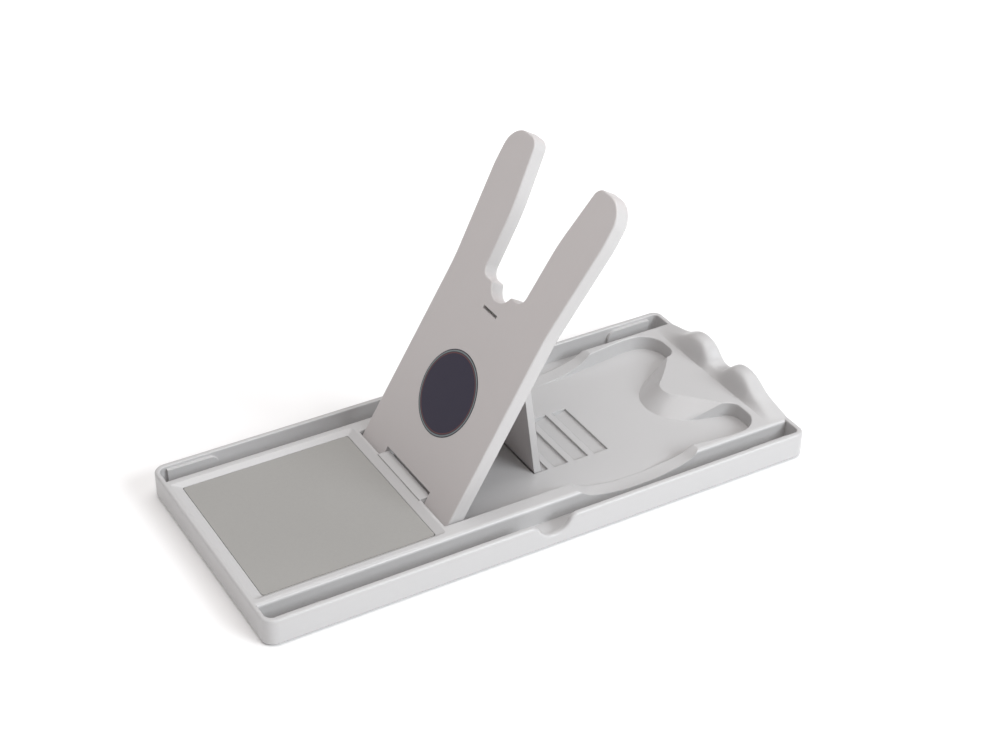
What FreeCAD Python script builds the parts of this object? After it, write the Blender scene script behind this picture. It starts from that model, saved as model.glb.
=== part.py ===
import FreeCAD, Part
import math
import os

# Fold-flat stand for a hot glue gun: a shallow tray with a drip mat, two stick
# channels, a forked rest plate on a hinge and a prop strut whose foot drops
# into one of four slots in the tray's floor.
# Frame: X along the tray (mat end at -X), Y across, Z up, millimetres,
# origin on the table under the middle of the tray.

V = FreeCAD.Vector
doc = FreeCAD.newDocument("glue_gun_stand")

# ---------------------------------------------------------------- dimensions
sheet = doc.addObject("Spreadsheet::Sheet", "Sheet")
DIMS = [
    # tray shell: walls, ridges and deck share one top level
    ("tray_len", 292.0), ("tray_wid", 131.8), ("corner_rad", 6.5), ("corner_rad_end", 5.0), ("wall_thk", 2.9),
    ("base_z", 0.8), ("deck_z", 14.7), ("floor_z", 6.75), ("chan_z", 4.4), ("under_z", 2.9), ("under_inset", 2.3),
    ("rim_round", 1.1), ("edge_round", 0.6), ("ridge_round", 2.0),
    ("chan_in", 52.5), ("chan_left", -143.6), ("chan_right", 143.4),
    # ribs on the inner faces of the long walls
    ("rib_thk", 1.7), ("rib_z", 13.1), ("rib_round", 5.0),
    # drip mat and its dished seat
    ("mat_cx", -94.65), ("mat_len", 87.0), ("mat_wid", 90.9), ("mat_thk", 1.5), ("mat_top", 12.85),
    ("mat_gap", 0.2), ("bevel_x", 4.0), ("bevel_end", 5.3), ("bevel_y", 2.85),
    # plate recess, tongue, scoops, slots
    ("rec_x0", -45.55), ("rec_near", 43.6), ("rec_half", 44.4), ("rec_flare", 49.2), ("rec_end", 130.65),
    ("tongue_x", 124.6), ("tongue_top", 105.0), ("tongue_foot", 94.75),
    ("scoop_mid", 56.65), ("scoop_half", 34.9),
    ("slot_right", 59.2), ("slot_pitch", 11.5), ("slot_wid", 8.2), ("slot_len", 40.1),
    ("slot_deep", 2.7), ("slot_shallow", 1.2),
    # thumb notches in the long walls, end humps
    ("thumb_x", 0.75), ("thumb_run", 13.0), ("thumb_z", 6.8), ("thumb_rad", 9.2),
    ("hump_x0", 133.95),
    # hinge
    ("axis_x", -41.05), ("axis_z", 10.8), ("lug_half", 21.05), ("lug_rad", 2.5), ("lug_proud", 0.7),
    ("hinge_pin_rad", 1.5), ("run_gap", 0.05),
    # rest plate
    ("plate_thk", 7.5), ("plate_half", 43.0), ("plate_waist", 42.0), ("plate_flare", 47.5),
    ("plate_len", 171.0), ("plate_deg", 59.2), ("plate_round", 0.8), ("notch_half", 21.35), ("notch_len", 6.0),
    ("fork_root", 104.5), ("fork_half_root", 17.55), ("fork_half_tip", 26.6), ("fork_mid", 138.0), ("fork_half_mid", 19.75),
    ("nozzle_rad", 8.7), ("nozzle_mid", 107.2), ("core_skin", 2.3),
    ("badge_mid", 48.3), ("badge_rad", 21.2), ("badge_thk", 0.6), ("badge_proud", 0.1),
    ("slit_mid", 92.5), ("slit_half", 6.0), ("slit_wid", 1.6),
    # prop strut
    ("pivot_len", 93.5), ("pivot_drop", 1.0), ("strut_half", 19.6), ("strut_thk", 4.2), ("strut_web", 3.7),
    ("strut_len", 86.6), ("strut_deg", 82.53), ("strut_pin_rad", 1.1), ("strut_pin_half", 23.5),
    ("bay_half", 20.0), ("bay_near", 5.5), ("bay_far", 97.0), ("bay_skin", 2.25),
    # base cover, feet, screws
    ("cover_thk", 2.0), ("cover_gap", 0.3), ("foot_rad", 7.0), ("foot_thk", 2.1), ("foot_x", 114.0),
    ("foot_y", 36.0), ("screw_rad", 1.3), ("screw_len", 7.2), ("screw_head_rad", 2.5), ("screw_head", 1.2),
]
for row, (name, value) in enumerate(DIMS, start=1):
    sheet.set("A%d" % row, name)
    sheet.set("B%d" % row, repr(value))
    sheet.setAlias("B%d" % row, name)
doc.recompute()


def dim(name):
    return float(getattr(sheet, name))


# ------------------------------------------------------------------- helpers
def round_poly(points):
    """Closed outline of lines and arcs from (x, y, radius) corners."""
    n = len(points)
    corners = []
    for i in range(n):
        px, py = points[i - 1][:2]
        x, y, r = points[i]
        qx, qy = points[(i + 1) % n][:2]
        if r <= 0:
            corners.append(((x, y), None, (x, y)))
            continue
        ax, ay = px - x, py - y
        bx, by = qx - x, qy - y
        la, lb = math.hypot(ax, ay), math.hypot(bx, by)
        ax, ay, bx, by = ax / la, ay / la, bx / lb, by / lb
        half = math.acos(max(-1.0, min(1.0, ax * bx + ay * by))) / 2.0
        cut = r / math.tan(half)
        mx, my = ax + bx, ay + by
        lm = math.hypot(mx, my)
        mx, my = mx / lm, my / lm
        reach = r / math.sin(half) - r
        corners.append(((x + ax * cut, y + ay * cut), (x + mx * reach, y + my * reach), (x + bx * cut, y + by * cut)))
    segs = []
    for i in range(n):
        start, mid, end = corners[i]
        if mid is not None:
            segs.append(("arc", start, mid, end))
        nxt = corners[(i + 1) % n][0]
        if math.hypot(nxt[0] - end[0], nxt[1] - end[1]) > 1e-6:
            segs.append(("line", end, nxt))
    return segs


def rect(x0, y0, x1, y1, r=0.0):
    return round_poly([(x0, y0, r), (x1, y0, r), (x1, y1, r), (x0, y1, r)])


def new_body(label):
    b = doc.addObject("PartDesign::Body", label)
    b.Label = label
    return b


def plane(body, role):
    return [f for f in body.Origin.OriginFeatures if f.Role == role][0]


def new_sketch(body, name, role="XY_Plane", offset=0.0, expr=None):
    sk = body.newObject("Sketcher::SketchObject", name)
    sk.AttachmentSupport = [(plane(body, role), "")]
    sk.MapMode = "FlatFace"
    sk.AttachmentOffset = FreeCAD.Placement(V(0, 0, offset), FreeCAD.Rotation())
    if expr:
        sk.setExpression("AttachmentOffset.Base.z", expr)
    return sk


def draw(sk, *loops):
    for segs in loops:
        for seg in segs:
            if seg[0] == "line":
                sk.addGeometry(Part.LineSegment(V(seg[1][0], seg[1][1], 0), V(seg[2][0], seg[2][1], 0)), False)
            elif seg[0] == "arc":
                sk.addGeometry(Part.Arc(V(seg[1][0], seg[1][1], 0), V(seg[2][0], seg[2][1], 0), V(seg[3][0], seg[3][1], 0)), False)
            elif seg[0] == "circle":
                sk.addGeometry(Part.Circle(V(seg[1][0], seg[1][1], 0), V(0, 0, 1), seg[2]), False)
            elif seg[0] == "spline":
                curve = Part.BSplineCurve()
                curve.interpolate([V(p[0], p[1], 0) for p in seg[1]])
                sk.addGeometry(curve, False)
    return sk


def pad(body, sk, length, name, expr=None, symmetric=False, reverse=False):
    f = body.newObject("PartDesign::Pad", name)
    f.Profile = sk
    f.Length = length
    if expr:
        f.setExpression("Length", expr)
    if symmetric:
        f.SideType = "Symmetric"
    f.Reversed = reverse
    doc.recompute()
    return f


def pocket(body, sk, length, name, expr=None, symmetric=False, reverse=False):
    before = body.Shape.Volume
    f = body.newObject("PartDesign::Pocket", name)
    f.Profile = sk
    f.Length = length
    if expr:
        f.setExpression("Length", expr)
    if symmetric:
        f.SideType = "Symmetric"
    f.Reversed = reverse
    doc.recompute()
    if body.Shape.Volume > before - 1e-3:
        raise RuntimeError("pocket %s cut nothing" % name)
    return f


def loft(body, kind, sketches, name, ruled=False):
    f = body.newObject("PartDesign::" + kind, name)
    f.Profile = sketches[0]
    f.Sections = sketches[1:]
    f.Ruled = ruled
    doc.recompute()
    return f


def fillet(body, radius, name, pick, expr=None):
    """Round every edge of the body that pick(edge) accepts."""
    base = body.Tip
    names = ["Edge%d" % (i + 1) for i, e in enumerate(base.Shape.Edges) if pick(e)]
    if not names:
        raise RuntimeError("fillet %s found no edge" % name)
    f = body.newObject("PartDesign::Fillet", name)
    f.Base = (base, names)
    f.Radius = radius
    if expr:
        f.setExpression("Radius", expr)
    doc.recompute()
    return f


def edge_box(e):
    b = e.BoundBox
    return b.XMin, b.XMax, b.YMin, b.YMax, b.ZMin, b.ZMax


half_l, half_w = dim("tray_len") / 2.0, dim("tray_wid") / 2.0
deck, floor_, chan = dim("deck_z"), dim("floor_z"), dim("chan_z")
base_z, under = dim("base_z"), dim("under_z")


def tray_loop(inset):
    """The tray's outline set in by a distance; the hump end has tighter corners."""
    a, b = half_l - inset, half_w - inset
    rl, rr = max(dim("corner_rad") - inset, 0.6), max(dim("corner_rad_end") - inset, 0.6)
    return round_poly([(-a, -b, rl), (a, -b, rr), (a, b, rr), (-a, b, rl)])


# ---------------------------------------------------------------------- tray
tray = new_body("tray")
sk = draw(new_sketch(tray, "tray_outline", offset=base_z, expr="Sheet.base_z"), tray_loop(0.0))
pad(tray, sk, deck - base_z, "tray_block", "Sheet.deck_z - Sheet.base_z")

# the foot of the outer wall is rolled under and its top edge is rounded
fillet(tray, 1.4, "wall_foot",
       lambda e: edge_box(e)[5] < base_z + 0.01)

# thumb notches in the long walls: a round bottom that runs out tangent to the
# top, cut first so that the rounded rim follows them down
ci, co = dim("chan_in"), half_w - dim("wall_thk")
tn, tw, tz, tr = dim("thumb_x"), dim("thumb_run"), dim("thumb_z"), dim("thumb_rad")
over = tz + tr - deck
te = (tw * tw + over * over - tr * tr) / (2.0 * (tr - over))
lean = math.atan2(over + te, tw)
half_turn = (lean + math.pi / 2) / 2.0


def thumb_point(sgn, angle):
    return tn - sgn * (tw - te * math.cos(angle)), deck - te + te * math.sin(angle)


loop = [("arc", (tn - tw, deck), thumb_point(1, half_turn), thumb_point(1, lean)),
        ("arc", thumb_point(1, lean), (tn, tz), thumb_point(-1, lean)),
        ("arc", thumb_point(-1, lean), thumb_point(-1, half_turn), (tn + tw, deck)),
        ("line", (tn + tw, deck), (tn + tw, deck + 2.0)), ("line", (tn + tw, deck + 2.0), (tn - tw, deck + 2.0)),
        ("line", (tn - tw, deck + 2.0), (tn - tw, deck))]
for tag, off in (("front", co - 0.2), ("back", -half_w - 0.5)):
    sk = draw(new_sketch(tray, "thumb_" + tag, "XZ_Plane", offset=off), loop)
    pocket(tray, sk, dim("wall_thk") + 0.7, "thumb_notch_" + tag, reverse=True)


def notch_edge(e, level):
    """Edge of a thumb notch that lies in a face of the long wall."""
    x0, x1, y0, y1, z0, z1 = edge_box(e)
    return x0 > tn - tw - 0.05 and x1 < tn + tw + 0.05 and z0 > tz - 0.2 and y0 * y1 > 0 and abs(abs(y0) - level) < 0.05 and abs(abs(y1) - level) < 0.05


def rim_edge(e):
    x0, x1, y0, y1, z0, z1 = edge_box(e)
    inside = x0 > tn - tw - 0.05 and x1 < tn + tw + 0.05
    return notch_edge(e, half_w) if inside else z0 > deck - 0.01


fillet(tray, dim("rim_round"), "rim_edge", rim_edge, "Sheet.rim_round")

xl, xr = dim("chan_left"), dim("chan_right")

# stick channels along both long walls, with eased top edges
sk = draw(new_sketch(tray, "channel_outline", offset=deck, expr="Sheet.deck_z"),
          round_poly([(xl, -co, 4.0), (xr, -co, 2.6), (xr, -ci, 0.0), (xl, -ci, 0.0)]),
          round_poly([(xl, ci, 0.0), (xr, ci, 0.0), (xr, co, 2.6), (xl, co, 4.0)]))
pocket(tray, sk, deck - chan, "channels", "Sheet.deck_z - Sheet.chan_z")


def channel_edge(e, inner):
    """Straight top edge of a channel, on the ridge side or on the wall side, or its end edges."""
    x0, x1, y0, y1, z0, z1 = edge_box(e)
    if z0 < deck - 0.01 or z1 > deck + 0.01 or x0 < xl - 0.05 or x1 > xr + 0.05:
        return False
    lo, hi = min(abs(y0), abs(y1)), max(abs(y0), abs(y1))
    on_ridge = hi < ci + 0.05 and lo > ci - 0.05
    return on_ridge if inner else (lo > ci - 0.05 and hi < co + 0.05 and not on_ridge)


fillet(tray, dim("ridge_round"), "ridge_edges", lambda e: channel_edge(e, True), "Sheet.ridge_round")
fillet(tray, dim("edge_round"), "channel_edges", lambda e: notch_edge(e, co) or (channel_edge(e, False) and edge_box(e)[1] - edge_box(e)[0] > 50.0), "Sheet.edge_round")

# wavy end: two rounded humps that rise from a crease across the deck
hx = dim("hump_x0")
RISE = [(0.0, 2.4), (3.0, 2.9), (6.0, 5.0), (9.0, 8.0), (12.0, 9.9), (15.0, 10.8), (18.5, 11.05), (22.0, 10.6), (25.5, 9.3),
        (29.0, 7.3), (32.5, 5.1), (36.0, 3.7), (40.0, 2.55), (44.0, 1.6), (47.5, 0.75), (50.4, 0.04)]


def rise_at(y):
    """Height of the end above the deck, by cubic steps through the table."""
    d = abs(y)
    k = 0
    while k < len(RISE) - 2 and d > RISE[k + 1][0]:
        k += 1

    def slope(j):
        if j == 0:
            return 0.0
        i0, i1 = max(j - 1, 0), min(j + 1, len(RISE) - 1)
        return (RISE[i1][1] - RISE[i0][1]) / (RISE[i1][0] - RISE[i0][0])

    (d0, r0), (d1, r1) = RISE[k], RISE[k + 1]
    w = d1 - d0
    t = (d - d0) / w
    return ((2 * t ** 3 - 3 * t ** 2 + 1) * r0 + (t ** 3 - 2 * t ** 2 + t) * w * slope(k)
            + (-2 * t ** 3 + 3 * t ** 2) * r1 + (t ** 3 - t ** 2) * w * slope(k + 1))


# XZ sketches look along -Y, so the offset is measured towards -Y
sections = []
steps = 28
FLANK = ((0.0, 0.0), (0.08, 0.14), (0.17, 0.35), (0.27, 0.60), (0.37, 0.79), (0.49, 0.91), (0.64, 0.97), (0.82, 0.995), (1.0, 1.0))
for i in range(steps + 1):
    y = RISE[-1][0] * (2.0 * i / steps - 1.0)
    rise = rise_at(y)
    ro = dim("rim_round") + 1.3 * min(1.0, rise / 10.0)
    run = half_l - hx - ro - 0.2
    pts = [(hx + f * run, deck + g * rise) for f, g in FLANK]
    pts += [(half_l - 0.55 * ro, deck + rise - 0.12 * ro), (half_l - 0.2 * ro, deck + rise - 0.42 * ro), (half_l, deck + rise - ro)]
    sk = draw(new_sketch(tray, "hump_%02d" % i, "XZ_Plane", offset=-y),
              [("spline", pts), ("line", pts[-1], (half_l, deck - 2.0)),
               ("line", (half_l, deck - 2.0), (hx, deck - 2.0)), ("line", (hx, deck - 2.0), (hx, deck))])
    sections.append(sk)
loft(tray, "AdditiveLoft", sections, "humps")

# near each end a rib stands along the wall's inner face
rt, rz, rr_ = dim("rib_thk"), dim("rib_z"), dim("rib_round")
loops = []
for x_end, x_flat in ((-139.1, -117.5), (137.7, 116.8)):
    sgn = 1 if x_end < 0 else -1
    x_in = x_flat + sgn * rr_
    loops.append([("line", (x_end, chan - 0.4), (x_end, rz)), ("line", (x_end, rz), (x_flat, rz)),
                  ("arc", (x_flat, rz), (x_flat + sgn * rr_ * math.sin(math.pi / 4), rz - rr_ * (1 - math.cos(math.pi / 4))), (x_in, rz - rr_)),
                  ("line", (x_in, rz - rr_), (x_in, chan - 0.4)), ("line", (x_in, chan - 0.4), (x_end, chan - 0.4))])
for tag, rib_off in (("front", co + 0.4), ("back", -(co - rt))):
    sk = draw(new_sketch(tray, "rib_side_" + tag, "XZ_Plane", offset=rib_off), *loops)
    pad(tray, sk, rt + 0.4, "ribs_" + tag, reverse=True)

# dished seat: bevelled border, then a flat-bottomed seat for the mat
mx, ml, mw = dim("mat_cx"), dim("mat_len") / 2.0, dim("mat_wid") / 2.0
bx, be, by, mt = dim("bevel_x"), dim("bevel_end"), dim("bevel_y"), dim("mat_top")
sk_lo = draw(new_sketch(tray, "dish_low", offset=mt, expr="Sheet.mat_top"), rect(mx - ml, -mw, mx + ml, mw, 1.0))
sk_hi = draw(new_sketch(tray, "dish_high", offset=deck, expr="Sheet.deck_z"),
             rect(mx - ml - be, -mw - by, mx + ml + bx, mw + by, 2.0))
loft(tray, "SubtractiveLoft", [sk_hi, sk_lo], "dish", True)
mg = dim("mat_gap")
sk = draw(new_sketch(tray, "seat_outline", offset=mt, expr="Sheet.mat_top"),
          rect(mx - ml, -mw, mx + ml, mw, 1.0))
pocket(tray, sk, dim("mat_thk"), "seat", "Sheet.mat_thk")

# recess that takes the folded plate: nearly straight sides, flared ends for the prongs
rx, rn, rh, rf, re_ = dim("rec_x0"), dim("rec_near"), dim("rec_half"), dim("rec_flare"), dim("rec_end")
tx = dim("tongue_x")
# the inner wall of each prong pocket runs straight on into the side of the tongue
corner_y, fx, fy = 26.38, 107.8, 20.0
lead = (corner_y - fy) / (re_ - fx)


def tongue_side(x):
    return fy + lead * (x - fx)


side = [(rx, -rn, 0.8), (74.0, -rh, 110.0), (111.0, -rf, 45.0), (re_, -rf, 12.5), (re_, -corner_y, 7.0), (tx, -tongue_side(tx), 0)]
sk = draw(new_sketch(tray, "recess_outline", offset=deck, expr="Sheet.deck_z"),
          round_poly(side + [(x, -y, r) for x, y, r in reversed(side)]))
pocket(tray, sk, deck - floor_, "recess", "Sheet.deck_z - Sheet.floor_z")
fillet(tray, dim("edge_round"), "recess_edges",
       lambda e: edge_box(e)[4] > deck - 0.01 and edge_box(e)[5] < deck + 0.01 and edge_box(e)[0] > rx - 0.05 and edge_box(e)[1] < re_ + 0.05
       and abs(edge_box(e)[2]) < rf + 0.05 and abs(edge_box(e)[3]) < rf + 0.05 and not (edge_box(e)[0] > tx - 0.05 and edge_box(e)[1] < tx + 0.05),
       "Sheet.edge_round")

# tongue between the prong pockets, with a sloping nose
tf, tt = dim("tongue_foot"), dim("tongue_top")
bow = fx - tf
fr = (fy * fy + bow * bow) / (2 * bow)
fcx = tf + fr


def nose(y):
    return fcx - math.sqrt(fr * fr - y * y)


xb, xj = tx + 0.6, tx + 0.3
yb, yj = tongue_side(xb), tongue_side(xj)
foot = [("line", (xb, -yb), (fx, -fy)),
        ("arc", (fx, -fy), (nose(-15.5), -15.5), (nose(-9.0), -9.0)),
        ("arc", (nose(-9.0), -9.0), (tf, 0), (nose(9.0), 9.0)),
        ("arc", (nose(9.0), 9.0), (nose(15.5), 15.5), (fx, fy)),
        ("line", (fx, fy), (xb, yb)), ("line", (xb, yb), (xb, -yb))]
top = [("line", (xb, -yb), (xj, -yj)),
       ("arc", (xj, -yj), (117.8, -16.4), (109.6, -8.2)),
       ("arc", (109.6, -8.2), (tt, 0), (109.6, 8.2)),
       ("arc", (109.6, 8.2), (117.8, 16.4), (xj, yj)),
       ("line", (xj, yj), (xb, yb)), ("line", (xb, yb), (xb, -yb))]
sk_lo = draw(new_sketch(tray, "tongue_low", offset=floor_ - 0.4), foot)
sk_hi = draw(new_sketch(tray, "tongue_high", offset=deck, expr="Sheet.deck_z"), top)
loft(tray, "AdditiveLoft", [sk_lo, sk_hi], "tongue", True)

# finger scoops through both ridges, so the folded plate can be lifted
sm, sh = dim("scoop_mid"), dim("scoop_half")
# (distance from the scoop's end, depth below the deck); the bottom all but meets the floor
FALL = [(0.0, 0.0), (1.2, 0.4), (2.6, 1.4), (5.0, 3.05), (8.5, 4.55), (13.0, 5.65), (19.0, 6.75), (26.0, 7.6)]


def scoop_loop():
    left_side = [(sm - sh + d, deck - f) for d, f in FALL]
    right_side = [(2 * sm - x, z) for x, z in reversed(left_side)]
    l, r = left_side[0], right_side[-1]
    return [("spline", left_side + [(sm, deck - 7.85)] + right_side),
            ("line", r, (r[0], deck + 1.0)), ("line", (r[0], deck + 1.0), (l[0], deck + 1.0)), ("line", (l[0], deck + 1.0), l)]


scoop_y0, scoop_y1 = ci - 9.6, ci + 0.3
for tag, off in (("front", scoop_y0), ("back", -scoop_y1)):
    sk = draw(new_sketch(tray, "scoop_" + tag, "XZ_Plane", offset=off), scoop_loop())
    pocket(tray, sk, scoop_y1 - scoop_y0, "scoops_" + tag, reverse=True)

# four saw-tooth slots for the strut's foot
loops = []
for k in range(4):
    xr = dim("slot_right") - k * dim("slot_pitch")
    xl = xr - dim("slot_wid")
    loops.append([("line", (xl, floor_ + 0.5), (xr, floor_ + 0.5)), ("line", (xr, floor_ + 0.5), (xr, floor_ - dim("slot_shallow"))),
                  ("line", (xr, floor_ - dim("slot_shallow")), (xl, floor_ - dim("slot_deep"))),
                  ("line", (xl, floor_ - dim("slot_deep")), (xl, floor_ + 0.5))])
sk = draw(new_sketch(tray, "slot_profile", "XZ_Plane"), *loops)
pocket(tray, sk, dim("slot_len"), "slots", "Sheet.slot_len", symmetric=True)

# hinge lug on the bar between the seat and the recess: a flat pad just proud of
# the deck, then a lower barrel, open underneath for the plate's tie bar
ax, az, lr = dim("axis_x"), dim("axis_z"), dim("lug_rad")
lx = ax + 0.3
lz = az + math.sqrt(lr * lr - 0.09)
lt, lb = deck + dim("lug_proud"), rx - 1.2
loop = [("line", (lb, az - lr), (ax, az - lr)), ("arc", (ax, az - lr), (ax + lr, az), (lx, lz)),
        ("line", (lx, lz), (lx, lt)), ("line", (lx, lt), (lb, lt)), ("line", (lb, lt), (lb, az - lr))]
sk = draw(new_sketch(tray, "lug_profile", "XZ_Plane"), loop)
pad(tray, sk, 2 * dim("lug_half"), "hinge_lug", "2 * Sheet.lug_half", symmetric=True)
sk = draw(new_sketch(tray, "lug_bore", "XZ_Plane"), [("circle", (ax, az), dim("hinge_pin_rad") + dim("run_gap"))])
pocket(tray, sk, 2 * dim("lug_half") + 0.4, "hinge_bore", "2 * Sheet.lug_half + 0.4", symmetric=True)

# hollow underside: rebate for the cover, then cored pockets under the thick areas
ui = dim("under_inset")
sk = draw(new_sketch(tray, "under_outline", offset=base_z - 0.01),
          tray_loop(ui))
pocket(tray, sk, under - base_z + 0.01, "under_rebate", reverse=True)
sk = draw(new_sketch(tray, "core_mat", offset=under, expr="Sheet.under_z"),
          rect(-136.5, -43.5, -53.0, 43.5, 3.0))
pocket(tray, sk, mt - dim("mat_thk") - 2.0 - under, "core_under_mat", reverse=True)
sk = draw(new_sketch(tray, "core_floor", offset=under, expr="Sheet.under_z"),
          rect(-33.5, -42.0, 7.5, 42.0, 3.0), rect(65.5, -40.0, 89.5, 40.0, 3.0))
pocket(tray, sk, floor_ - 2.2 - under, "core_under_floor", reverse=True)
SCREWS = [(-125.0, -47.9), (-125.0, 47.9), (5.0, -48.0), (5.0, 48.0), (138.0, -38.0), (138.0, 38.0)]
sk = draw(new_sketch(tray, "pilot_holes", offset=under, expr="Sheet.under_z"),
          *[[("circle", p, dim("screw_rad") + 0.02)] for p in SCREWS])
pocket(tray, sk, 7.0, "pilots", reverse=True)

# ----------------------------------------------------------------- base cover
cover = new_body("base_cover")
cg = dim("cover_gap")
c_lo = under - dim("cover_thk")
sk = draw(new_sketch(cover, "cover_outline", offset=c_lo),
          tray_loop(ui + cg))
pad(cover, sk, dim("cover_thk"), "cover_plate", "Sheet.cover_thk")
FEET = {"foot_front_left": (-1, -1), "foot_front_right": (1, -1), "foot_back_left": (-1, 1), "foot_back_right": (1, 1)}
fxp, fyp = dim("foot_x"), dim("foot_y")
FEET_XY = {k: (sx * fxp, sy * fyp) for k, (sx, sy) in FEET.items()}
sk = draw(new_sketch(cover, "foot_seats", offset=c_lo - 0.01), *[[("circle", p, dim("foot_rad") + 0.1)] for p in FEET_XY.values()])
pocket(cover, sk, 1.21, "foot_recesses", reverse=True)
sk = draw(new_sketch(cover, "screw_seats", offset=c_lo - 0.01), *[[("circle", p, dim("screw_head_rad") + 0.25)] for p in SCREWS])
pocket(cover, sk, 1.31, "counterbores", reverse=True)
sk = draw(new_sketch(cover, "screw_ways", offset=c_lo - 0.01), *[[("circle", p, 1.55)] for p in SCREWS])
pocket(cover, sk, dim("cover_thk") + 0.1, "screw_holes", reverse=True)

# ---------------------------------------------------------------------- feet
feet = []
for label, (px, py) in FEET_XY.items():
    b = new_body(label)
    sk = draw(new_sketch(b, label + "_disc"), [("circle", (px, py), dim("foot_rad"))])
    pad(b, sk, dim("foot_thk"), label + "_pad", "Sheet.foot_thk")
    fillet(b, 0.5, label + "_edge", lambda e: edge_box(e)[5] < 0.01)
    feet.append(b)

# -------------------------------------------------------------- cover screws
# six identical self-tapping screws, each a turned head and shank with a cross slot
screws = []
head_lo = c_lo + 1.3 - dim("screw_head")
for i, (px, py) in enumerate(SCREWS):
    head = doc.addObject("Part::Cylinder", "screw_head_%d" % i)
    head.setExpression("Radius", "Sheet.screw_head_rad")
    head.setExpression("Height", "Sheet.screw_head")
    head.Placement.Base = V(px, py, head_lo)
    shank = doc.addObject("Part::Cylinder", "screw_shank_%d" % i)
    shank.setExpression("Radius", "Sheet.screw_rad")
    shank.setExpression("Height", "Sheet.screw_len")
    shank.Placement.Base = V(px, py, head_lo + dim("screw_head"))
    both = doc.addObject("Part::Fuse", "screw_blank_%d" % i)
    both.Base, both.Tool = head, shank
    bars = []
    for j, (dx, dy) in enumerate(((3.2, 0.7), (0.7, 3.2))):
        bar = doc.addObject("Part::Box", "screw_bar_%d_%d" % (i, j))
        bar.Length, bar.Width, bar.Height = dx, dy, 0.7
        bar.Placement.Base = V(px - dx / 2, py - dy / 2, head_lo - 0.01)
        bars.append(bar)
    cross = doc.addObject("Part::Fuse", "screw_cross_%d" % i)
    cross.Base, cross.Tool = bars
    cut = doc.addObject("Part::Cut", "screw_%d" % i)
    cut.Base, cut.Tool = both, cross
    screws.append(cut)
doc.recompute()
screw_set = doc.addObject("Part::Compound", "cover_screws")
screw_set.Label = "cover_screws"
screw_set.Links = screws
doc.recompute()

# ------------------------------------------------------------------ drip mat
mat = new_body("drip_mat")
sk = draw(new_sketch(mat, "mat_outline", offset=mt - dim("mat_thk"), expr="Sheet.mat_top - Sheet.mat_thk"),
          rect(mx - ml + mg, -mw + mg, mx + ml - mg, mw - mg, 1.5))
pad(mat, sk, dim("mat_thk"), "mat_sheet", "Sheet.mat_thk")

# ---------------------------------------------------------------- rest plate
# modelled flat: local X runs from the hinge to the fork, local Z out of the face
pt = dim("plate_thk") / 2.0
ph, pw, pf, pl = dim("plate_half"), dim("plate_waist"), dim("plate_flare"), dim("plate_len")
root, hr_, ht = dim("fork_root"), dim("fork_half_root"), dim("fork_half_tip")
nr, nm = dim("nozzle_rad"), dim("nozzle_mid")
plate = new_body("rest_plate")
cusp = math.sqrt(nr * nr - (nm - root) ** 2)
left = [(0.0, -ph, 0.0), (101.0, -pw, 110.0), (150.0, -pf, 45.0), (pl, -pf, 11.5), (pl, -ht, 5.5), (dim("fork_mid"), -dim("fork_half_mid"), 100.0),
        (root, -hr_, 5.2), (root, -cusp, 0.0)]
right = [(x, -y, r) for x, y, r in reversed(left)]
outline = []
for seg in round_poly(left + right):
    if seg[0] == "line" and abs(seg[1][0] - root) < 1e-6 and abs(seg[2][0] - root) < 1e-6 and abs(seg[1][1] + cusp) < 1e-6 and abs(seg[2][1] - cusp) < 1e-6:
        outline.append(("arc", seg[1], (nm - nr, 0.0), seg[2]))
    else:
        outline.append(seg)
sk = draw(new_sketch(plate, "plate_outline"), outline)
pad(plate, sk, 2 * pt, "plate_slab", "Sheet.plate_thk", symmetric=True)
# the two cusps of the nozzle notch are eased
fillet(plate, 1.3, "notch_cusps",
       lambda e: edge_box(e)[1] - edge_box(e)[0] < 1e-6 and abs(edge_box(e)[0] - root) < 1e-3 and abs(abs(edge_box(e)[2]) - cusp) < 1e-3
       and edge_box(e)[3] - edge_box(e)[2] < 1e-6)
# moulded edges are rounded all round, except along the hinge
fillet(plate, dim("plate_round"), "plate_edges",
       lambda e: edge_box(e)[5] - edge_box(e)[4] < 1e-6 and abs(abs(edge_box(e)[4]) - pt) < 1e-3 and edge_box(e)[1] > 0.01,
       "Sheet.plate_round")
# round hinge barrel, split by the notch that straddles the lug
sk = draw(new_sketch(plate, "barrel_end", "XZ_Plane"), [("circle", (0.0, 0.0), pt)])
pad(plate, sk, 2 * ph - 0.8, "hinge_barrel", "2 * Sheet.plate_half - 0.8", symmetric=True)
nh, nl = dim("notch_half"), dim("notch_len")
sk = draw(new_sketch(plate, "hinge_notch", offset=pt + 1.0), rect(-pt - 1.0, -nh, nl, nh))
pocket(plate, sk, 2 * pt + 2.0, "hinge_gap")
# a thin bar ties the two ears together behind the lug
sk = draw(new_sketch(plate, "tie_side", "XZ_Plane"), rect(1.0, -pt, 5.0, -pt + 0.85))
pad(plate, sk, 2 * nh + 1.0, "tie_bar", symmetric=True)
# bay for the folded strut, in the back, open to the hinge notch
bh, bn, bf = dim("bay_half"), dim("bay_near"), dim("bay_far")
sk = draw(new_sketch(plate, "strut_bay", offset=-pt - 0.01),
          round_poly([(bn, -bh, 0.0), (bf, -bh, 1.5), (bf, bh, 1.5), (bn, bh, 0.0)]))
pocket(plate, sk, 2 * pt - dim("bay_skin") + 0.01, "bay", reverse=True)
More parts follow.
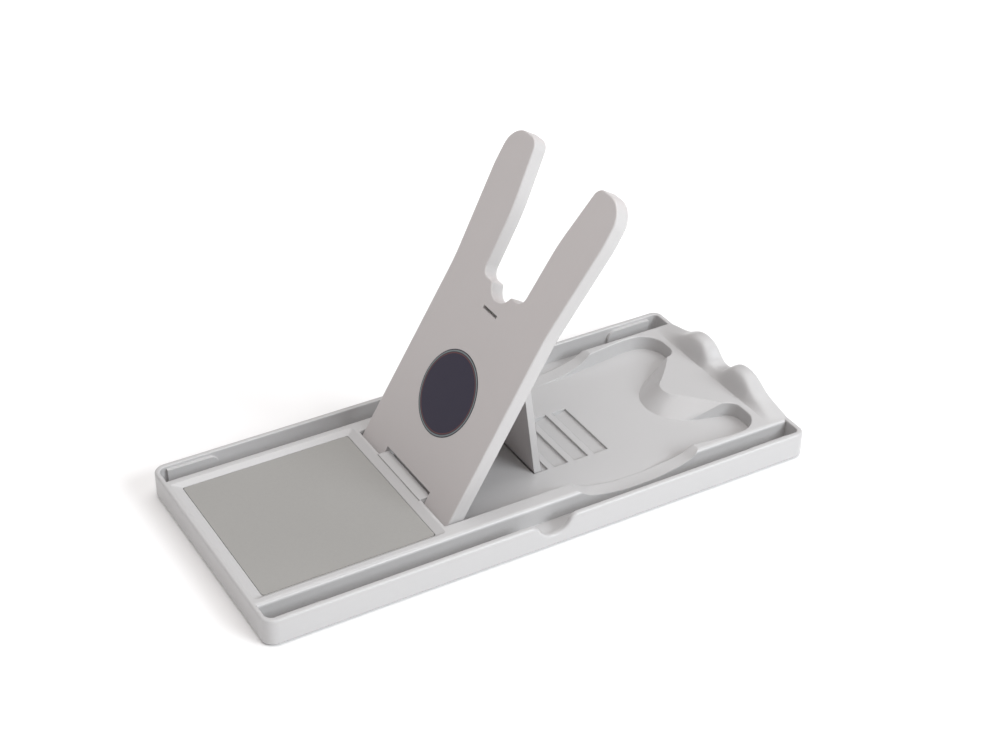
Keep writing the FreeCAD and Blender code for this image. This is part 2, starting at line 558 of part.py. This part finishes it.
# cored cells leave an outer wall and ribs
cells = []
for sgn in (-1, 1):
    for cell in ([(10.0, 22.0, 1.5), (47.5, 22.0, 1.5), (47.5, 40.1, 1.5), (10.0, 40.5, 1.5)],
                 [(49.5, 22.0, 1.5), (101.0, 22.0, 1.5), (101.0, 39.6, 1.5), (49.5, 40.1, 1.5)],
                 [(103.2, 21.0, 1.2), (108.0, 20.6, 1.5), (138.0, 22.4, 90.0), (168.5, 28.9, 3.2), (168.5, 45.0, 9.2), (150.5, 45.0, 42.0), (103.2, 39.8, 1.5)]):
        cells.append(round_poly([(x, sgn * y, r) for x, y, r in (cell if sgn < 0 else list(reversed(cell)))]))
sk = draw(new_sketch(plate, "core_cells", offset=-pt - 0.01), *cells)
pocket(plate, sk, 2 * pt - dim("core_skin") + 0.01, "cores", reverse=True)
# moulding slit over the strut's pivot
sm_, sl_, sw_ = dim("slit_mid"), dim("slit_half"), dim("slit_wid") / 2.0
sk = draw(new_sketch(plate, "slit", offset=pt + 0.5), rect(sm_ - sw_, -sl_, sm_ + sw_, sl_, 0.3))
pocket(plate, sk, dim("bay_skin") + 0.8, "pivot_slit")
# seat for the round label
sk = draw(new_sketch(plate, "badge_seat", offset=pt + 0.01), [("circle", (dim("badge_mid"), 0.0), dim("badge_rad") + 0.1)])
pocket(plate, sk, dim("badge_thk") - dim("badge_proud") + 0.01, "badge_recess")
# pin holes: hinge pin enters from the back ear, strut pin sits in the bay's side ribs
sk = draw(new_sketch(plate, "hinge_pin_hole", "XZ_Plane", offset=-ph - 0.1), [("circle", (0.0, 0.0), dim("hinge_pin_rad") + 0.01)])
pocket(plate, sk, 2 * ph - 2.0, "hinge_pin_way", reverse=True)
pv, pd = dim("pivot_len"), dim("pivot_drop")
sk = draw(new_sketch(plate, "strut_pin_hole", "XZ_Plane"), [("circle", (pv, -pd), dim("strut_pin_rad") + 0.01)])
pocket(plate, sk, 2 * dim("strut_pin_half") + 0.1, "strut_pin_way", symmetric=True)

tilt = dim("plate_deg")
turn = FreeCAD.Rotation(V(0, -1, 0), tilt)
on_plate = FreeCAD.Placement(V(ax, 0, az), turn)
plate.Placement = on_plate

# ----------------------------------------------------------------- hinge pin
hinge_pin = doc.addObject("Part::Cylinder", "hinge_pin")
hinge_pin.Label = "hinge_pin"
hinge_pin.setExpression("Radius", "Sheet.hinge_pin_rad")
hinge_pin.setExpression("Height", "2 * Sheet.plate_half - 2.6")
hinge_pin.Placement = FreeCAD.Placement(V(ax, ph - 0.4, az), FreeCAD.Rotation(V(1, 0, 0), 90))

# ----------------------------------------------------------------- strut pin
strut_pin = doc.addObject("Part::Cylinder", "strut_pin")
strut_pin.Label = "strut_pin"
strut_pin.setExpression("Radius", "Sheet.strut_pin_rad")
strut_pin.setExpression("Height", "2 * Sheet.strut_pin_half")
pivot = on_plate.multVec(V(pv, 0, -pd))
strut_pin.Placement = FreeCAD.Placement(V(pivot.x, dim("strut_pin_half"), pivot.z), FreeCAD.Rotation(V(1, 0, 0), 90))

# --------------------------------------------------------------- round label
badge = new_body("badge")
sk = draw(new_sketch(badge, "badge_disc", offset=pt - dim("badge_thk") + dim("badge_proud")),
          [("circle", (dim("badge_mid"), 0.0), dim("badge_rad"))])
pad(badge, sk, dim("badge_thk"), "badge_sheet", "Sheet.badge_thk")
badge.Placement = on_plate

# ---------------------------------------------------------------- prop strut
# modelled along local X from its pivot to its foot
strut = new_body("prop_strut")
st, sl, sh_ = dim("strut_thk") / 2.0, dim("strut_len"), dim("strut_half")
# side profile (local X along the strut, local Z across it): a thicker knuckle
# round the pin, then a thinner web; the heel is cut back on the hinge side
# along the foot's path, so it lifts out of its slot as the plate rises
sw = st - dim("strut_web")
heel = [("arc", (0.0, st), (-st, 0.0), (0.0, -st)), ("line", (0.0, -st), (5.0, -st)), ("line", (5.0, -st), (7.0, sw)),
        ("line", (7.0, sw), (sl - 2.3, sw)), ("line", (sl - 2.3, sw), (sl, 1.2)), ("line", (sl, 1.2), (sl, st)),
        ("line", (sl, st), (0.0, st))]
sk = draw(new_sketch(strut, "strut_side", "XZ_Plane"), heel)
pad(strut, sk, 2 * sh_, "strut_plate", "2 * Sheet.strut_half", symmetric=True)
sk = draw(new_sketch(strut, "strut_bore", "XZ_Plane"), [("circle", (0.0, 0.0), dim("strut_pin_rad") + dim("run_gap"))])
pocket(strut, sk, 2 * sh_ + 0.4, "pivot_bore", symmetric=True)
# shallow panel on the fork side, with a middle rib
sk = draw(new_sketch(strut, "strut_panel", offset=st + 0.01),
          rect(7.0, -sh_ + 3.0, sl - 9.0, -1.2, 2.0), rect(7.0, 1.2, sl - 9.0, sh_ - 3.0, 2.0))
pocket(strut, sk, 1.3, "strut_panels")
strut.Placement = FreeCAD.Placement(pivot, FreeCAD.Rotation(V(0, 1, 0), dim("strut_deg")))

doc.recompute()

# -------------------------------------------------------------------- output
SUBPARTS = [tray, cover] + feet + [screw_set, mat, plate, hinge_pin, strut_pin, badge, strut]
for obj in doc.Objects:
    if any(flag in obj.State for flag in ("Invalid", "Error")):
        raise RuntimeError("%s failed: %s" % (obj.Label, obj.State))
for obj in SUBPARTS:
    shape = obj.Shape
    if shape.isNull() or not shape.isValid():
        raise RuntimeError("%s has no valid shape" % obj.Label)
    print("%-18s solids %d  volume %.0f  box %s" % (obj.Label, len(shape.Solids), shape.Volume,
          [round(c, 2) for c in (shape.BoundBox.XMin, shape.BoundBox.XMax, shape.BoundBox.YMin, shape.BoundBox.YMax, shape.BoundBox.ZMin, shape.BoundBox.ZMax)]))

os.makedirs("parts", exist_ok=True)
for obj in SUBPARTS:
    obj.Shape.exportStep("parts/%s.step" % obj.Label)
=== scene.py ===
import math
import bpy
from mathutils import Matrix, Vector


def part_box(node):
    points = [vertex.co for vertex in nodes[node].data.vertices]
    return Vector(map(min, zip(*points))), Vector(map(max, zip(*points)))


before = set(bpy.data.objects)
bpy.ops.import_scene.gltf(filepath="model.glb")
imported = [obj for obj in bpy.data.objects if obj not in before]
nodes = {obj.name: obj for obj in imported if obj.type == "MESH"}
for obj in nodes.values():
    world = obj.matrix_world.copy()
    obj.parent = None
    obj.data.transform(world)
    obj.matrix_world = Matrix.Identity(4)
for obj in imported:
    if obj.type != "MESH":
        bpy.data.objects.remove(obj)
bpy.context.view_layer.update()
scene = bpy.context.scene


# ------------------------------------------------------------------ materials
def new_material(name):
    mat = bpy.data.materials.new(name)
    mat.use_nodes = True
    tree = mat.node_tree
    bsdf = next(n for n in tree.nodes if n.type == "BSDF_PRINCIPLED")
    return mat, tree, bsdf


def node(tree, kind, **values):
    n = tree.nodes.new(kind)
    for key, value in values.items():
        if key in n.inputs:
            n.inputs[key].default_value = value
        else:
            setattr(n, key, value)
    return n


def mix_color(tree, fac, a, b, blend="MIX"):
    m = tree.nodes.new("ShaderNodeMix")
    m.data_type = "RGBA"
    m.blend_type = blend
    for socket, value in ((0, fac), (6, a), (7, b)):
        if hasattr(value, "is_output"):
            tree.links.new(value, m.inputs[socket])
        else:
            m.inputs[socket].default_value = value
    return m.outputs[2]


def ramp(tree, value, stops):
    r = tree.nodes.new("ShaderNodeValToRGB")
    els = r.color_ramp.elements
    while len(els) < len(stops):
        els.new(0.5)
    for el, (pos, col) in zip(els, stops):
        el.position = pos
        el.color = col if len(col) == 4 else (*col, 1.0)
    tree.links.new(value, r.inputs[0])
    return r.outputs[0]


def soft_edge(tree, bump, radius):
    """Feed the bump a normal that is eased over the outer few tenths of each edge."""
    bev = tree.nodes.new("ShaderNodeBevel")
    bev.samples = 6
    bev.inputs["Radius"].default_value = radius
    tree.links.new(bev.outputs["Normal"], bump.inputs["Normal"])


def moulded(name, color, rough=0.42, grain=0.06, cloud=0.03, scale=1.0, edge=0.00035, painted_side_light=None):
    """Satin moulded plastic: a fine etched grain, faint flow clouding and rubbed spots in the gloss."""
    mat, tree, bsdf = new_material(name)
    link = tree.links.new
    co = node(tree, "ShaderNodeTexCoord").outputs["Object"]
    fine = node(tree, "ShaderNodeTexNoise", Scale=2600.0 * scale, Detail=3.0, Roughness=0.6)
    link(co, fine.inputs["Vector"])
    mid = node(tree, "ShaderNodeTexNoise", Scale=55.0 * scale, Detail=4.0, Roughness=0.55)
    link(co, mid.inputs["Vector"])
    wide = node(tree, "ShaderNodeTexNoise", Scale=9.0 * scale, Detail=2.0, Roughness=0.5)
    link(co, wide.inputs["Vector"])
    dark = tuple(c * (1.0 - cloud) for c in color) + (1.0,)
    light = tuple(min(1.0, c * (1.0 + cloud)) for c in color) + (1.0,)
    base = mix_color(tree, wide.outputs["Fac"], dark, light)
    if painted_side_light is not None:
        # painted light: the narrow sides, which face along the object's Y, get their own colour standing in for the
        # cooler front light and the shade they catch
        split = node(tree, "ShaderNodeSeparateXYZ")
        link(node(tree, "ShaderNodeTexCoord").outputs["Normal"], split.inputs[0])
        turn = node(tree, "ShaderNodeMath", operation="ABSOLUTE")
        link(split.outputs["Y"], turn.inputs[0])
        base = mix_color(tree, ramp(tree, turn.outputs["Value"], [(0.3, (0.0,) * 3), (0.8, (1.0,) * 3)]), base, (*painted_side_light, 1.0))
    speck = ramp(tree, fine.outputs["Fac"], [(0.30, (0.97, 0.97, 0.97)), (0.62, (1.0, 1.0, 1.0))])
    link(mix_color(tree, 0.5, base, speck, "MULTIPLY"), bsdf.inputs["Base Color"])
    gloss = ramp(tree, mid.outputs["Fac"], [(0.30, (rough - 0.012,) * 3), (0.75, (rough + 0.015,) * 3)])
    link(gloss, bsdf.inputs["Roughness"])
    bump = node(tree, "ShaderNodeBump", Strength=grain, Distance=0.0001)
    link(fine.outputs["Fac"], bump.inputs["Height"])
    soft_edge(tree, bump, edge)
    link(bump.outputs["Normal"], bsdf.inputs["Normal"])
    bsdf.inputs["Specular IOR Level"].default_value = 0.5
    return mat


def silicone(name, color):
    """Smooth silicone sheet: soft sheen, slight waviness, a little dust."""
    mat, tree, bsdf = new_material(name)
    link = tree.links.new
    co = node(tree, "ShaderNodeTexCoord").outputs["Object"]
    dust = node(tree, "ShaderNodeTexNoise", Scale=900.0, Detail=5.0, Roughness=0.7)
    link(co, dust.inputs["Vector"])
    wave = node(tree, "ShaderNodeTexNoise", Scale=16.0, Detail=1.0, Roughness=0.4)
    link(co, wave.inputs["Vector"])
    base = mix_color(tree, wave.outputs["Fac"], tuple(c * 0.97 for c in color) + (1.0,), tuple(c * 1.03 for c in color) + (1.0,))
    specks = ramp(tree, dust.outputs["Fac"], [(0.35, (0.93, 0.93, 0.93)), (0.55, (1.0, 1.0, 1.0))])
    link(mix_color(tree, 0.4, base, specks, "MULTIPLY"), bsdf.inputs["Base Color"])
    gloss = ramp(tree, wave.outputs["Fac"], [(0.3, (0.28,) * 3), (0.7, (0.36,) * 3)])
    link(gloss, bsdf.inputs["Roughness"])
    bump = node(tree, "ShaderNodeBump", Strength=0.05, Distance=0.0002)
    link(dust.outputs["Fac"], bump.inputs["Height"])
    soft_edge(tree, bump, 0.0003)
    link(bump.outputs["Normal"], bsdf.inputs["Normal"])
    bsdf.inputs["Specular IOR Level"].default_value = 0.4
    return mat


def steel(name, color):
    mat, tree, bsdf = new_material(name)
    link = tree.links.new
    co = node(tree, "ShaderNodeTexCoord").outputs["Object"]
    stretch = node(tree, "ShaderNodeMapping")
    stretch.inputs["Scale"].default_value = (4000.0, 120.0, 4000.0)
    link(co, stretch.inputs["Vector"])
    brush = node(tree, "ShaderNodeTexNoise", Scale=1.0, Detail=2.0)
    link(stretch.outputs["Vector"], brush.inputs["Vector"])
    link(mix_color(tree, brush.outputs["Fac"], tuple(c * 0.9 for c in color) + (1.0,), tuple(c * 1.05 for c in color) + (1.0,)), bsdf.inputs["Base Color"])
    link(ramp(tree, brush.outputs["Fac"], [(0.3, (0.24,) * 3), (0.7, (0.36,) * 3)]), bsdf.inputs["Roughness"])
    bsdf.inputs["Metallic"].default_value = 1.0
    return mat


def rubber(name, color):
    mat, tree, bsdf = new_material(name)
    link = tree.links.new
    co = node(tree, "ShaderNodeTexCoord").outputs["Object"]
    grit = node(tree, "ShaderNodeTexNoise", Scale=1500.0, Detail=3.0)
    link(co, grit.inputs["Vector"])
    link(mix_color(tree, grit.outputs["Fac"], tuple(c * 0.85 for c in color) + (1.0,), tuple(c * 1.15 for c in color) + (1.0,)), bsdf.inputs["Base Color"])
    link(ramp(tree, grit.outputs["Fac"], [(0.3, (0.7,) * 3), (0.7, (0.85,) * 3)]), bsdf.inputs["Roughness"])
    bump = node(tree, "ShaderNodeBump", Strength=0.2, Distance=0.0001)
    link(grit.outputs["Fac"], bump.inputs["Height"])
    link(bump.outputs["Normal"], bsdf.inputs["Normal"])
    return mat


def printed_disc(name, centre, radius):
    """Dark printed label with two thin rings near its rim."""
    mat, tree, bsdf = new_material(name)
    link = tree.links.new
    co = node(tree, "ShaderNodeTexCoord").outputs["Object"]
    off = node(tree, "ShaderNodeVectorMath", operation="SUBTRACT")
    off.inputs[1].default_value = centre
    link(co, off.inputs[0])
    far = node(tree, "ShaderNodeVectorMath", operation="LENGTH")
    link(off.outputs["Vector"], far.inputs[0])
    rel = node(tree, "ShaderNodeMath", operation="DIVIDE")
    rel.inputs[1].default_value = radius
    link(far.outputs["Value"], rel.inputs[0])
    face = (0.026, 0.021, 0.046)
    dark, teal, red = (0.035, 0.033, 0.047), (0.20, 0.235, 0.24), (0.15, 0.05, 0.05)
    rings = ramp(tree, rel.outputs["Value"], [
        (0.0, face), (0.905, face), (0.912, red), (0.925, red), (0.932, dark), (0.945, dark), (0.952, teal), (0.978, teal), (0.987, dark), (1.0, dark)])
    grain = node(tree, "ShaderNodeTexNoise", Scale=3000.0, Detail=2.0)
    link(co, grain.inputs["Vector"])
    speck = ramp(tree, grain.outputs["Fac"], [(0.3, (0.86, 0.86, 0.88)), (0.7, (1.0, 1.0, 1.0))])
    link(mix_color(tree, 0.8, rings, speck, "MULTIPLY"), bsdf.inputs["Base Color"])
    link(ramp(tree, grain.outputs["Fac"], [(0.3, (0.42,) * 3), (0.7, (0.52,) * 3)]), bsdf.inputs["Roughness"])
    bump = node(tree, "ShaderNodeBump", Strength=0.05, Distance=0.0001)
    link(grain.outputs["Fac"], bump.inputs["Height"])
    link(bump.outputs["Normal"], bsdf.inputs["Normal"])
    return mat


tray_mat = moulded("tray_plastic", (0.50, 0.495, 0.495), rough=0.31, edge=0.0006)
# the plate's and strut's side colours are painted light: cooler, and on the plate darker, where the lamps fall
# differently
plate_mat = moulded("plate_plastic", (0.565, 0.54, 0.536), rough=0.36, painted_side_light=(0.495, 0.485, 0.482))
strut_mat = moulded("strut_plastic", (0.535, 0.507, 0.503), rough=0.36, painted_side_light=(0.53, 0.52, 0.517))
cover_mat = moulded("cover_plastic", (0.56, 0.56, 0.57), rough=0.55)
mat_mat = silicone("mat_silicone", (0.325, 0.319, 0.306))
pin_mat = steel("pin_steel", (0.62, 0.62, 0.63))
screw_mat = steel("screw_steel", (0.55, 0.55, 0.56))
foot_mat = rubber("foot_rubber", (0.05, 0.05, 0.052))
lo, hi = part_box("badge")
badge_mid = [(a + b) / 2 for a, b in zip(lo, hi)]
badge_mat = printed_disc("badge_print", badge_mid, 0.0212)

PAINT = {
    "tray": tray_mat, "base_cover": cover_mat, "cover_screws": screw_mat, "drip_mat": mat_mat, "rest_plate": plate_mat,
    "prop_strut": strut_mat, "hinge_pin": pin_mat, "strut_pin": pin_mat, "badge": badge_mat,
    "foot_front_left": foot_mat, "foot_front_right": foot_mat, "foot_back_left": foot_mat, "foot_back_right": foot_mat,
}
for name, mat in PAINT.items():
    obj = nodes[name]
    obj.data.materials.clear()
    obj.data.materials.append(mat)


# --------------------------------------------------------------- floor and sky
bpy.ops.mesh.primitive_plane_add(size=6.0, location=(0, 0, 0))
floor = bpy.context.object
floor.name = "studio_floor"
fmat, ftree, fbsdf = new_material("studio_white")
fbsdf.inputs["Base Color"].default_value = (0.93, 0.93, 0.93, 1.0)
fbsdf.inputs["Roughness"].default_value = 0.6
fbsdf.inputs["Specular IOR Level"].default_value = 0.2
fbsdf.inputs["Emission Color"].default_value = (1.0, 1.0, 1.0, 1.0)
# painted light: the floor glows, weakly near the object and more strongly further out, which keeps the far corners
# white and paints deeper shade around the object
fco = node(ftree, "ShaderNodeTexCoord").outputs["Object"]
freach = node(ftree, "ShaderNodeVectorMath", operation="LENGTH")
ftree.links.new(fco, freach.inputs[0])
ftree.links.new(ramp(ftree, freach.outputs["Value"], [(0.17, (0.05,) * 3), (0.46, (0.26,) * 3)]), fbsdf.inputs["Emission Strength"])
floor.data.materials.append(fmat)

world = bpy.data.worlds.new("studio")
world.use_nodes = True
bg = next(n for n in world.node_tree.nodes if n.type == "BACKGROUND")
bg.inputs["Color"].default_value = (1.0, 0.965, 0.958, 1.0)
bg.inputs["Strength"].default_value = 0.34
scene.world = world


def softbox(name, place, target, size, power, color=(1, 1, 1)):
    lamp = bpy.data.lights.new(name, "AREA")
    lamp.shape = "RECTANGLE"
    lamp.size, lamp.size_y = size
    lamp.energy = power
    lamp.color = color
    o = bpy.data.objects.new(name, lamp)
    scene.collection.objects.link(o)
    o.location = place
    o.rotation_euler = (Vector(target) - Vector(place)).to_track_quat("-Z", "Y").to_euler()
    return o


softbox("top_box", (0.55, 0.3, 1.55), (0, 0, 0), (1.3, 1.1), 7.5)
softbox("front_box", (0.8, -1.45, 1.0), (0, 0, 0.05), (1.0, 0.8), 28.0, (0.93, 0.97, 1.0))
softbox("left_fill", (-0.4, -0.35, 1.6), (0, 0, 0.05), (1.2, 1.2), 12.0, (1.0, 0.965, 0.955))

# --------------------------------------------------------------------- camera
azim, elev, roll = math.radians(30.518), math.radians(33.487), math.radians(0.5527)
fwd = Vector((math.sin(azim) * math.cos(elev), math.cos(azim) * math.cos(elev), -math.sin(elev)))
right = Vector((math.cos(azim), -math.sin(azim), 0.0))
up = right.cross(fwd)
right, up = right * math.cos(roll) + up * math.sin(roll), up * math.cos(roll) - right * math.sin(roll)
cam_data = bpy.data.cameras.new("camera")
cam_data.sensor_width = 36.0
cam_data.sensor_fit = "HORIZONTAL"
cam_data.lens = 69.83
cam = bpy.data.objects.new("camera", cam_data)
scene.collection.objects.link(cam)
place = Vector((-0.38244, -0.66386, 0.56498))
cam.matrix_world = Matrix(((right.x, up.x, -fwd.x, place.x), (right.y, up.y, -fwd.y, place.y), (right.z, up.z, -fwd.z, place.z), (0, 0, 0, 1)))
scene.camera = cam

scene.view_settings.view_transform = "Standard"
scene.view_settings.look = "None"
